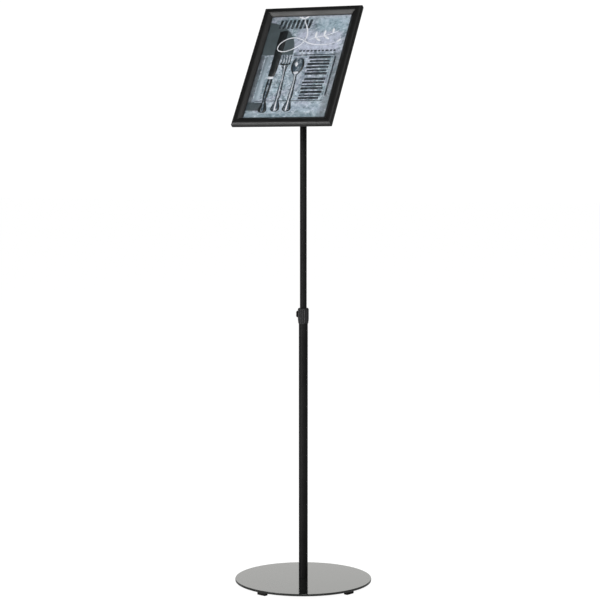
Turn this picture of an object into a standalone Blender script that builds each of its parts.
"""Telescopic sign stand with a tilting, turning A4 snap frame.

Metres, +Z up. The origin is on the floor, on the axis of the post, and the sign faces -Y.
From the floor up: a round steel base on four rubber blocks, a lower tube bolted to it from below,
a clamp collar with a thumb knob, a thinner upper tube that slides and swivels in the collar,
a tongue and fork joint that tilts, and the snap frame, which also turns on a swivel bolt.
"""

import math

import bmesh
import bpy
from mathutils import Matrix, Vector

# ---------------------------------------------------------------- driving dimensions
GAP = 0.0003            # clearance kept between pieces that touch
RUN = 0.0003            # radial clearance of a shaft in its hole

BASE_R = 0.1525
BASE_T = 0.005
BASE_EDGE = 0.0008
FOOT_LONG, FOOT_WIDE, FOOT_TALL = 0.023, 0.011, 0.0097
FOOT_RADIUS = 0.134
FOOT_TURN = math.radians(-18.5)
FOOT_COUNT = 4

LOWER_R = 0.0100
UPPER_R = 0.0075
WALL = 0.0012
LOWER_TOP = 0.5985
UPPER_BOTTOM = 0.460

COLLAR_BOTTOM, COLLAR_TOP = 0.588, 0.6225
COLLAR_R = 0.0122
CLAMP_Z = 0.6068
CLAMP_TURN = math.radians(133.3)    # direction of the thumb knob, from +X towards +Y

M8_R, M6_R, M4_R = 0.004, 0.003, 0.0019
WASHER_T = 0.0012
PAD_T = 0.0010                      # thickness of the plastic pad and of the swivel washer
CUT_PAST = 0.002                    # how far a cutter runs past the face it opens

BASE_BOLT_HEAD_R, BASE_BOLT_HEAD_T = 0.0075, 0.005
BASE_BOLT_REACH = 0.024             # thread above the base plate
BASE_WASHER_R, BASE_WASHER_T = 0.011, 0.0016
PLUG_TALL = 0.028
FOOT_EDGE = 0.0009

BUSH_CUP = 0.026                    # how much of the upper tube the guide bush holds
BUSH_FLOOR = 0.008
HEAD_DEPTH = 0.022                  # length of the mast head's plug in the upper tube
HEAD_FLANGE = 0.003

PIVOT_Z = 1.1324
TILT_BACK = math.radians(34.75)     # lean of the sign away from upright
TONGUE_HALF = 0.0070
TONGUE_R = 0.0080
EAR_T = 0.0025
EAR_R = 0.0090
FORK_BASE_T = 0.003
NUT_R, NUT_T = 0.0057, 0.0048

SIGN_W, SIGN_H, SIGN_T = 0.2335, 0.3205, 0.012
PAPER_W, PAPER_H = 0.210, 0.297
SIGN_FRONT = 0.0446                 # from the tilt axis to the front of the frame, along its normal
SIGN_BACK = SIGN_FRONT - SIGN_T
RAIL_W = 0.020
SKIN = 0.0012                       # thickness of the aluminium sections
HINGE_W = 0.0069                    # height of the snap hinges over the back of the frame

# Layers inside the frame, as heights over its back
PANEL = (0.0015, 0.0035)
POSTER = (0.0038, 0.00405)
SHEET = (0.00435, 0.00485)
LIP = 0.00515

SIDES = ("bottom", "right", "top", "left")

COLLECTION = bpy.data.collections.new("sign_stand")
CUTTERS = bpy.data.collections.new("cutters")


# ---------------------------------------------------------------- small helpers
def clear_scene():
    for old in list(bpy.data.objects):
        bpy.data.objects.remove(old)
    bpy.context.scene.collection.children.link(COLLECTION)
    bpy.context.scene.collection.children.link(CUTTERS)


def material(name, colour, roughness, metallic=0.0):
    made = bpy.data.materials.new(name)
    made.use_nodes = True
    shader = made.node_tree.nodes["Principled BSDF"]
    shader.inputs["Base Color"].default_value = (*colour, 1.0)
    shader.inputs["Roughness"].default_value = roughness
    shader.inputs["Metallic"].default_value = metallic
    return made


def add(name, mesh, look, parent=None, at=Matrix.Identity(4)):
    """An object for this mesh, placed by `at` in its parent's space."""
    made = bpy.data.objects.new(name, mesh)
    COLLECTION.objects.link(made)
    made.parent = parent
    made.matrix_basis = at
    if look is not None:
        mesh.materials.append(look)
    return made


def empty(name, at):
    made = bpy.data.objects.new(name, None)
    COLLECTION.objects.link(made)
    made.matrix_world = at
    return made


def smooth(made, angle=35):
    made.data.shade_smooth()
    made.data.set_sharp_from_angle(angle=math.radians(angle))


def arc(centre, radii, start, end, steps):
    """Points of an elliptic arc, from `start` to `end` degrees."""
    turns = [math.radians(start + (end - start) * k / steps) for k in range(steps + 1)]
    return [(centre[0] + radii[0] * math.cos(t), centre[1] + radii[1] * math.sin(t)) for t in turns]


def circle(radius, centre=(0.0, 0.0), steps=20):
    return arc(centre, (radius, radius), 0, 360, steps)[:-1]


def rounded_rectangle(width, height, radius, steps=5):
    points = []
    for k, (sx, sy) in enumerate(((1, 1), (-1, 1), (-1, -1), (1, -1))):
        centre = (sx * (width / 2 - radius), sy * (height / 2 - radius))
        points += arc(centre, (radius, radius), 90 * k, 90 * k + 90, steps)
    return points


def lobed_outline(mean, swell, lobes, steps=48):
    """A round outline with `lobes` soft lobes, one of them at 45 degrees."""
    points = []
    for k in range(steps):
        turn = 2 * math.pi * k / steps
        radius = mean + swell * math.cos(lobes * (turn - math.pi / 4))
        points.append((radius * math.cos(turn), radius * math.sin(turn)))
    return points


def turned(name, profile, look, parent=None, at=Matrix.Identity(4), steps=36):
    """A profile of (radius, height) points, outer side from top to bottom, turned about local Z.

    A profile that starts and ends on the axis is solid; any other is a closed ring.
    """
    mesh = bpy.data.meshes.new(name)
    count = len(profile)
    edges = [(k, k + 1) for k in range(count - 1)]
    if profile[0][0] > 0:
        edges.append((count - 1, 0))
    mesh.from_pydata([(radius, 0.0, height) for radius, height in profile], edges, [])
    made = add(name, mesh, look, parent, at)
    screw = made.modifiers.new("turn", "SCREW")
    screw.axis = "Z"
    screw.steps = steps
    screw.render_steps = steps
    screw.use_merge_vertices = True
    screw.merge_threshold = 0.00001
    screw.use_smooth_shade = False
    bake(made)
    smooth(made)
    return made


def ring(name, inner, outer, low, high, look, parent=None, at=Matrix.Identity(4), steps=28):
    profile = [(inner, high), (outer, high), (outer, low), (inner, low)]
    return turned(name, profile, look, parent, at, steps)


def rod(name, radius, low, high, look, parent=None, at=Matrix.Identity(4), steps=24):
    edge = min(0.0004, radius / 4, (high - low) / 4)
    profile = [(0.0, high), (radius - edge, high), (radius, high - edge),
               (radius, low + edge), (radius - edge, low), (0.0, low)]
    return turned(name, profile, look, parent, at, steps)


def plate(name, outline, low, high, look, parent=None, at=Matrix.Identity(4), holes=()):
    """A flat outline with holes, extruded from `low` to `high` along local Z."""
    curve = bpy.data.curves.new(name, "CURVE")
    curve.dimensions = "2D"
    curve.fill_mode = "BOTH"
    curve.extrude = (high - low) / 2
    for points in (outline, *holes):
        spline = curve.splines.new("POLY")
        spline.points.add(len(points) - 1)
        for point, (x, y) in zip(spline.points, points):
            point.co = (x, y, 0.0, 1.0)
        spline.use_cyclic_u = True
    guide = bpy.data.objects.new(name + "_outline", curve)
    COLLECTION.objects.link(guide)
    bpy.context.view_layer.update()
    graph = bpy.context.evaluated_depsgraph_get()
    mesh = bpy.data.meshes.new_from_object(guide.evaluated_get(graph))
    bpy.data.objects.remove(guide)
    mesh.name = name
    mesh.transform(Matrix.Translation((0.0, 0.0, (low + high) / 2)))
    shape = bmesh.new()
    shape.from_mesh(mesh)
    bmesh.ops.remove_doubles(shape, verts=shape.verts, dist=0.000001)
    bmesh.ops.recalc_face_normals(shape, faces=shape.faces)
    shape.to_mesh(mesh)
    shape.free()
    mesh.materials.clear()
    return add(name, mesh, look, parent, at)


def box(name, size, centre, look, parent=None, at=Matrix.Identity(4)):
    shape = bmesh.new()
    bmesh.ops.create_cube(shape, size=1.0)
    bmesh.ops.scale(shape, vec=size, verts=shape.verts)
    bmesh.ops.translate(shape, vec=centre, verts=shape.verts)
    mesh = bpy.data.meshes.new(name)
    shape.to_mesh(mesh)
    shape.free()
    return add(name, mesh, look, parent, at)


def bevel(made, width, segments=2, angle=30):
    edge = made.modifiers.new("edge", "BEVEL")
    edge.width = width
    edge.segments = segments
    edge.limit_method = "ANGLE"
    edge.angle_limit = math.radians(angle)
    edge.harden_normals = False
    smooth(made)


def bake(made):
    """Applies the object's modifiers, so that a later Boolean meets a plain mesh."""
    bpy.context.view_layer.update()
    graph = bpy.context.evaluated_depsgraph_get()
    mesh = bpy.data.meshes.new_from_object(made.evaluated_get(graph))
    made.modifiers.clear()
    made.data = mesh


def combine(made, other, operation):
    """Joins `other` to `made`, or cuts it out, and keeps `other` as a hidden cutter."""
    COLLECTION.objects.unlink(other)
    CUTTERS.objects.link(other)
    other.hide_render = True
    other.display_type = "WIRE"
    change = made.modifiers.new(operation.lower(), "BOOLEAN")
    change.operation = operation
    change.object = other
    change.solver = "EXACT"


def facing(direction, origin):
    """A frame at `origin` whose local Z runs along `direction` and whose local Y leans up."""
    axis = Vector(direction).normalized()
    side = Vector((0, 0, 1)).cross(axis).normalized()
    up = axis.cross(side)
    return Matrix.Translation(origin) @ Matrix((side, up, axis)).transposed().to_4x4()


# ---------------------------------------------------------------- base and lower post
def make_base(looks):
    low = FOOT_TALL + GAP
    top = low + BASE_T
    hole = M8_R + RUN
    profile = [(hole, top), (BASE_R - BASE_EDGE, top), (BASE_R, top - BASE_EDGE),
               (BASE_R, low + BASE_EDGE), (BASE_R - BASE_EDGE, low), (hole, low)]
    turned("base_plate", profile, looks["base"], steps=72)
    for k in range(FOOT_COUNT):
        turn = FOOT_TURN + 2 * math.pi * k / FOOT_COUNT
        at = Matrix.Rotation(turn, 4, "Z") @ Matrix.Translation((FOOT_RADIUS, 0, FOOT_TALL / 2))
        size = (FOOT_WIDE, FOOT_LONG, FOOT_TALL)
        foot = box(f"base_foot_{k + 1}", size, (0, 0, 0), looks["rubber"], at=at)
        bevel(foot, FOOT_EDGE)

    washer_top = low - GAP
    washer_low = washer_top - BASE_WASHER_T
    ring("base_washer", hole, BASE_WASHER_R, washer_low, washer_top, looks["steel"])
    head_top = washer_low - GAP
    head_low = head_top - BASE_BOLT_HEAD_T
    head = plate("base_bolt", circle(BASE_BOLT_HEAD_R, steps=6), head_low, head_top, looks["steel"])
    shank = rod("base_bolt_shank", M8_R, head_top - 0.001, top + BASE_BOLT_REACH, looks["steel"])
    combine(head, shank, "UNION")

    plug_low = top + GAP
    ring("tube_plug", hole, LOWER_R - WALL - GAP, plug_low, plug_low + PLUG_TALL, looks["steel"])
    ring("lower_tube", LOWER_R - WALL, LOWER_R, plug_low, LOWER_TOP, looks["tube"], steps=40)


# ---------------------------------------------------------------- clamp collar
def make_clamp(looks):
    tube_hole = LOWER_R + RUN
    mast_hole = UPPER_R + RUN
    step = LOWER_TOP + GAP
    shoulder = 0.0036
    taper = 0.0085
    body_top = COLLAR_TOP - shoulder
    crown = arc((mast_hole + 0.0006, body_top), (COLLAR_R - mast_hole - 0.0006, shoulder), 90, 0, 5)
    profile = [(mast_hole, COLLAR_TOP), *crown, (COLLAR_R, COLLAR_BOTTOM + taper),
               (tube_hole + 0.0007, COLLAR_BOTTOM), (tube_hole, COLLAR_BOTTOM),
               (tube_hole, step), (mast_hole, step)]
    collar = turned("clamp_collar", profile, looks["collar"], steps=40)

    outward = (math.cos(CLAMP_TURN), math.sin(CLAMP_TURN), 0)
    axis = empty("clamp_axis", facing(outward, (0, 0, CLAMP_Z)))
    boss_r, boss_root, boss_face = 0.0062, 0.0085, 0.0138
    boss = rod("clamp_boss", boss_r, boss_root, boss_face, None, axis)
    combine(collar, boss, "UNION")
    insert_r = M6_R + RUN + 0.0010
    bore_low, bore_high = UPPER_R - CUT_PAST, boss_face + CUT_PAST
    combine(collar, rod("insert_bore", insert_r + GAP, bore_low, bore_high, None, axis), "DIFFERENCE")
    ring("clamp_insert", M6_R + RUN, insert_r, boss_root, boss_face - GAP, looks["brass"], axis)

    pad_low = UPPER_R + GAP
    pad_high = pad_low + PAD_T
    rod("clamp_pad", M6_R - GAP, pad_low, pad_high, looks["pad"], axis)

    neck_low = boss_face + 2 * GAP
    head_low, head_high = 0.0187, 0.0268
    stud_end = 0.0225
    rod("clamp_screw", M6_R, pad_high + GAP, stud_end, looks["steel"], axis)
    knob = plate("clamp_knob", lobed_outline(0.0080, 0.0012, 4), head_low, head_high, looks["knob"], axis)
    bevel(knob, 0.0011, 1)
    neck_r = 0.0052
    combine(knob, rod("knob_neck", neck_r, neck_low, head_low + CUT_PAST, None, axis), "UNION")
    bore = rod("knob_bore", M6_R + GAP, neck_low - CUT_PAST, stud_end + GAP, None, axis)
    combine(knob, bore, "DIFFERENCE")


# ---------------------------------------------------------------- telescopic mast and its head
def make_mast(looks):
    bush_r = LOWER_R - WALL - GAP
    cup = UPPER_R + RUN
    floor = UPPER_BOTTOM - GAP
    rim, foot, lead = floor + BUSH_CUP, floor - BUSH_FLOOR, 0.001
    turned("guide_bush", [(cup, rim), (bush_r, rim), (bush_r, foot + 2 * lead), (bush_r - lead, foot),
                          (0.0, foot), (0.0, floor), (cup, floor)], looks["pad"])

    tube_top = PIVOT_Z - 0.0150
    tube = ring("upper_tube", UPPER_R - WALL, UPPER_R, UPPER_BOTTOM, tube_top, looks["tube"], steps=40)

    flange_low = tube_top + GAP
    flange_high = flange_low + HEAD_FLANGE
    plug_r = UPPER_R - WALL - GAP
    plug_end = tube_top - HEAD_DEPTH
    profile = [(0.0, flange_high), (UPPER_R - 0.0002, flange_high), (UPPER_R, flange_high - 0.0004),
               (UPPER_R, flange_low), (plug_r, flange_low), (plug_r, plug_end), (0.0, plug_end)]
    head = turned("mast_head", profile, looks["collar"])
    # The tongue's outline is in the YZ plane: its local x is up, and its local y is along +Y
    side_on = Matrix.Translation((0, 0, PIVOT_Z)) @ Matrix(((0, 0, 1), (0, 1, 0), (-1, 0, 0))).to_4x4()
    foot = -(PIVOT_Z - flange_high) - 0.001
    outline = [(-foot, -TONGUE_R), *arc((0, 0), (TONGUE_R, TONGUE_R), -90, -270, 16), (-foot, TONGUE_R)]
    tongue = plate("head_tongue", outline, -TONGUE_HALF, TONGUE_HALF, None, at=side_on,
                   holes=[circle(M6_R + RUN)])
    combine(head, tongue, "UNION")

    # A small screw from the back fixes the head in the tube
    screw_axis = empty("head_screw_axis", facing((0, 1, 0), (0, 0, tube_top - HEAD_DEPTH / 2)))
    tip, bore_end, bore_r = 0.0015, UPPER_R + CUT_PAST, M4_R + GAP
    for made, start in ((tube, tip + CUT_PAST), (head, tip - GAP)):
        bore = rod(f"{made.name}_screw_bore", bore_r, start, bore_end, None, screw_axis, steps=20)
        combine(made, bore, "DIFFERENCE")
    dome = arc((0, UPPER_R + GAP), (0.0034, 0.0018), 90, 0, 5)
    shank = [(M4_R, UPPER_R + GAP), (M4_R, tip), (0.0, tip)]
    turned("head_screw", [(0.0, dome[0][1]), *dome[1:], *shank], looks["steel"], screw_axis, steps=24)


# ---------------------------------------------------------------- tilting fork and swivel
def make_fork(looks, sign):
    """The fork, its pivot bolt and the swivel bolt, in the sign's own space (local Z is its normal)."""
    hole = M6_R + RUN
    base_high = SIGN_BACK - 0.0021
    base_low = base_high - FORK_BASE_T
    bracket = plate("tilt_bracket", rounded_rectangle(0.040, 0.044, 0.007), base_low, base_high,
                    looks["bracket"], sign, holes=[circle(hole)])
    inner = TONGUE_HALF + GAP
    # The ears' outline is in the plane across the tilt axis: local x runs back from the sign
    ear_space = Matrix(((0, 0, 1), (0, 1, 0), (-1, 0, 0))).to_4x4()
    root, neck, wide = -base_low - 0.001, -0.018, 0.016
    outline = [(root, -wide), (neck, -wide), *arc((0, 0), (EAR_R, EAR_R), -70, 70, 12),
               (neck, wide), (root, wide)]
    for side, label in ((-1, "left"), (1, "right")):
        low = min(side * inner, side * (inner + EAR_T))
        ear = plate(f"ear_{label}", outline, low, low + EAR_T, None, sign, ear_space, holes=[circle(hole)])
        combine(bracket, ear, "UNION")

    pivot = empty("tilt_axis", facing((1, 0, 0), (0, 0, PIVOT_Z)))
    ear_face = inner + EAR_T
    head_in = -ear_face - GAP
    dome = arc((0, head_in), (0.0056, 0.0034), 0, -90, 6)
    bolt_end = 0.0212
    turned("tilt_bolt", [(0.0, bolt_end), (M6_R - 0.0004, bolt_end), (M6_R, bolt_end - 0.0004),
                         (M6_R, head_in), *dome[:-1], (0.0, dome[-1][1])], looks["steel"], pivot, steps=24)
    washer_low = ear_face + GAP
    washer_high = washer_low + WASHER_T
    ring("tilt_washer", hole, 0.0070, washer_low, washer_high, looks["steel"], pivot)

    neck_low = washer_high + GAP
    neck_r, head_low, head_high = 0.0068, neck_low + 0.0032, neck_low + 0.0125
    insert_r = hole + 0.0016
    knob = plate("tilt_knob", lobed_outline(0.0112, 0.0012, 6), head_low, head_high, looks["knob"], pivot)
    bevel(knob, 0.0014, 1)
    combine(knob, rod("tilt_knob_neck", neck_r, neck_low, head_low + CUT_PAST, None, pivot), "UNION")
    bore_end = bolt_end + 2 * GAP
    bore = rod("tilt_knob_bore", insert_r + GAP, neck_low - CUT_PAST, bore_end, None, pivot)
    combine(knob, bore, "DIFFERENCE")
    ring("tilt_knob_insert", hole, insert_r, neck_low + GAP, bore_end - GAP, looks["brass"], pivot)

    pad_low = base_high + GAP
    ring("swivel_washer", hole, 0.0180, pad_low, pad_low + PAD_T, looks["pad"], sign)
    nut_top = base_low - GAP
    nut_low = nut_top - NUT_T
    plate("swivel_nut", circle(NUT_R, steps=6), nut_low, nut_top, looks["steel"], sign,
          holes=[circle(hole)])
    head_r, head_edge = 0.0060, 0.0008
    seat, tip = SIGN_BACK + PANEL[0], nut_low - 0.0014
    head_top = seat + 2 * head_edge
    turned("swivel_bolt", [(0.0, head_top), (head_r - head_edge, head_top), (head_r, head_top - head_edge),
                           (head_r, seat), (M6_R, seat), (M6_R, tip), (0.0, tip)],
           looks["steel"], sign, steps=24)


# ---------------------------------------------------------------- snap frame
def side_space(index, height):
    """The space of one rail: local x runs in from the outer edge, y along the sign's normal, z along it."""
    half = SIGN_H / 2 if index % 2 == 0 else SIGN_W / 2
    inward = Matrix(((0, 0, 1), (1, 0, 0), (0, 1, 0))).to_4x4()
    around = Matrix.Rotation(math.pi / 2 * index, 4, "Z")
    return around @ Matrix.Translation((0, -half, SIGN_BACK + height)) @ inward


def mitred(name, section, index, height, look, sign):
    """A section extruded along one side of the frame, with 45 degree ends."""
    length = SIGN_W if index % 2 == 0 else SIGN_H
    made = plate(name, section, -length / 2, length / 2, look, sign, side_space(index, height))
    for vertex in made.data.vertices:
        reach = length / 2 - vertex.co.x - GAP * 0.75
        vertex.co.z = math.copysign(reach, vertex.co.z)
    smooth(made, 30)
    return made


def rail_section():
    """A channel with an outer wall, a floor under the panel's edge and a wall that locates the panel."""
    wall_top = HINGE_W - GAP
    inner = (SIGN_W - PAPER_W) / 2 - GAP
    chamfer, ledge = 0.0008, RAIL_W - 0.0015
    return [(0.0, chamfer), (chamfer, 0.0), (ledge, 0.0), (ledge, SKIN),
            (inner, SKIN), (inner, SHEET[1]), (inner - SKIN, SHEET[1]), (inner - SKIN, SKIN),
            (SKIN, SKIN), (SKIN, wall_top), (0.0, wall_top)]


def cover_section():
    """The snap cover, about its hinge on the outer edge: round shoulder, ridge and slope to the lip."""
    ridge = SIGN_T - HINGE_W
    lip = LIP - HINGE_W
    skin = 0.0013
    outer = arc((0.0070, 0.0016), (0.0070, ridge - 0.0016), 180, 90, 7)
    crest = arc((0.0092, ridge - 0.0060), (0.0060, 0.0060), 80, 62, 2)
    nose = [(RAIL_W - 0.0008, lip + 0.0019), (RAIL_W, lip + 0.0011), (RAIL_W, lip)]
    under = [(RAIL_W - 0.0011, lip), (RAIL_W - 0.0016, lip + 0.0008), (0.0104, ridge - skin - 0.0008)]
    inside = arc((0.0072, 0.0016), (0.0072 - skin, ridge - 0.0016 - skin), 90, 180, 6)
    return [(0.0, 0.0), *outer, *crest, *nose, *under, *inside, (skin, 0.0)]


def spring_outline():
    """A bowed leaf spring, seen from the side."""
    half, rise, thick = 0.0110, 0.0040, 0.0005
    steps = 10
    shares = [k / steps for k in range(steps + 1)]
    top = [(half - 2 * half * share, rise * math.sin(math.pi * share) + thick) for share in shares]
    bottom = [(x, y - thick) for x, y in reversed(top)]
    return top + bottom


def make_frame(looks, sign):
    section, cover = rail_section(), cover_section()
    for index, side in enumerate(SIDES):
        mitred(f"rail_{side}", section, index, 0.0, looks["frame"], sign)
        mitred(f"cover_{side}", cover, index, HINGE_W, looks["frame"], sign)

    floor = SKIN + GAP
    channel = 0.0046
    for index, side in enumerate(SIDES):
        places = (0.0,) if index % 2 == 0 else (-0.080, 0.080)
        for k, along in enumerate(places):
            name = f"snap_spring_{side}" if len(places) == 1 else f"snap_spring_{side}_{k + 1}"
            # The bow's outline runs along the rail (x) and up (y), and its width is across the channel
            turn = Matrix(((0, 0, 1, 0.0048), (0, 1, 0, 0), (-1, 0, 0, along), (0, 0, 0, 1)))
            plate(name, spring_outline(), -channel / 2, channel / 2, looks["steel"], sign,
                  side_space(index, floor) @ turn)

    leg, near, far = 0.030, 0.0018, 0.0078
    for index, (sx, sy) in enumerate(((-1, -1), (1, -1), (1, 1), (-1, 1))):
        corner = (sx * SIGN_W / 2, sy * SIGN_H / 2)
        shape = [(near, near), (leg, near), (leg, far), (far, far), (far, leg), (near, leg)]
        points = [(corner[0] - sx * x, corner[1] - sy * y) for x, y in shape]
        low = SIGN_BACK + floor
        plate(f"corner_key_{index + 1}", points, low, low + 0.0015, looks["steel"], sign)


def make_display(looks, sign):
    """Back panel, print, clear sheet and the plate that carries them."""
    hole = M6_R + RUN
    spots = [(x, y) for x in (-0.030, 0.030) for y in (-0.030, 0.030)]
    rivet_hole = 0.0020
    plate_low, plate_high, plate_side = SIGN_BACK - 0.0005, SIGN_BACK + SKIN, 0.080
    plate("mount_plate", rounded_rectangle(plate_side, plate_side, 0.008), plate_low, plate_high,
          looks["bracket"], sign, holes=[circle(hole), *(circle(rivet_hole, spot, 12) for spot in spots)])
    panel_size = (PAPER_W - GAP, PAPER_H - GAP)
    panel_low, panel_high = (SIGN_BACK + height for height in PANEL)
    plate("back_panel", rounded_rectangle(*panel_size, 0.001, 2), panel_low, panel_high, looks["panel"], sign,
          holes=[circle(0.0080), *(circle(rivet_hole, spot, 12) for spot in spots)])
    for k, spot in enumerate(spots):
        seat = plate_low - GAP
        dome = arc((0, seat), (0.0036, 0.0014), 0, -90, 4)
        tip = panel_high - GAP
        turned(f"mount_rivet_{k + 1}", [(0.0, tip), (rivet_hole - GAP, tip), (rivet_hole - GAP, seat),
                                        *dome[:-1], (0.0, dome[-1][1])],
               looks["bracket"], sign, Matrix.Translation((*spot, 0)), steps=16)
    for name, (low, high), look in (("poster_print", POSTER, "print"), ("clear_sheet", SHEET, "clear")):
        box(name, (PAPER_W, PAPER_H, high - low), (0, 0, SIGN_BACK + (low + high) / 2), looks[look], sign)


def main():
    clear_scene()
    looks = {
        "base": material("gloss_black_steel", (0.020, 0.020, 0.021), 0.08),
        "rubber": material("black_rubber", (0.020, 0.017, 0.015), 0.80),
        "tube": material("black_powder_coat", (0.016, 0.016, 0.016), 0.38),
        "steel": material("zinc_steel", (0.55, 0.56, 0.57), 0.35, 1.0),
        "brass": material("brass", (0.72, 0.55, 0.28), 0.30, 1.0),
        "collar": material("black_nylon", (0.040, 0.040, 0.041), 0.50),
        "knob": material("black_knob_plastic", (0.010, 0.010, 0.010), 0.45),
        "pad": material("white_acetal", (0.75, 0.75, 0.72), 0.45),
        "bracket": material("black_bracket_steel", (0.018, 0.018, 0.018), 0.45),
        "frame": material("black_anodised_aluminium", (0.018, 0.018, 0.019), 0.30),
        "panel": material("black_backing_board", (0.030, 0.030, 0.031), 0.60),
        "print": material("printed_poster", (0.36, 0.44, 0.50), 0.45),
        "clear": material("clear_sheet", (0.95, 0.97, 0.98), 0.10),
    }
    make_base(looks)
    make_clamp(looks)
    make_mast(looks)
    lean = Matrix.Rotation(math.pi / 2 - TILT_BACK, 4, "X")
    sign = empty("sign_axes", Matrix.Translation((0, 0, PIVOT_Z)) @ lean)
    make_fork(looks, sign)
    make_frame(looks, sign)
    make_display(looks, sign)


main()
